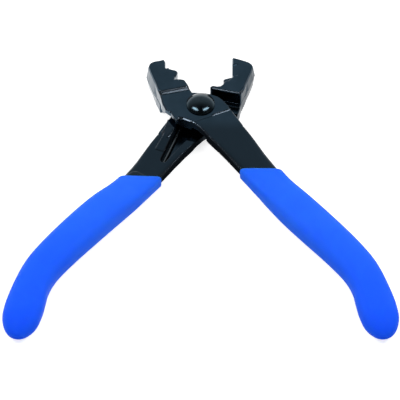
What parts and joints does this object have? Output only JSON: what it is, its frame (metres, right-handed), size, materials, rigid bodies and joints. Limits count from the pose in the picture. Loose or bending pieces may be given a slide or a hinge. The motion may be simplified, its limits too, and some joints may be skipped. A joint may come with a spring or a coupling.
{
  "type": "hose clamp pliers",
  "caption": "Spring-opened pliers for hose clamps: forged levers crossing in a lap joint, stepped hook jaws, a domed pivot rivet, a torsion spring and dipped handle grips.",
  "frame": {"origin": "centre of the base of the tool's box, lying on its back in the open position", "axes": "+Y towards the jaws, +X across the open handles, +Z out of the rivet head, along the pivot"},
  "size_m": [0.1678, 0.1485, 0.0148],
  "materials": {
    "lever_steel": "black oxide on drop-forged steel, satin",
    "rivet_steel": "black oxide, satin, domed head",
    "spring_wire": "drawn spring wire, dark",
    "grip_vinyl": "dip-moulded blue vinyl, satin gloss"
  },
  "bodies": {
    "rear_half": {"rear_lever": "lever_steel", "rear_grip": "grip_vinyl", "pivot_rivet": "rivet_steel", "return_spring": "spring_wire"},
    "front_half": {"front_lever": "lever_steel", "front_grip": "grip_vinyl"}
  },
  "joints": [
    {"name": "closing", "type": "hinge", "parent": "rear_half", "child": "front_half", "pos_m": [0, 0.04895, 0.0065], "axis": [0, 0, -1], "range_deg": [0, 46], "stiffness_Nm_per_rad": 0.6, "springref_deg": -28.65, "deforming": ["return_spring"]}
  ]
}
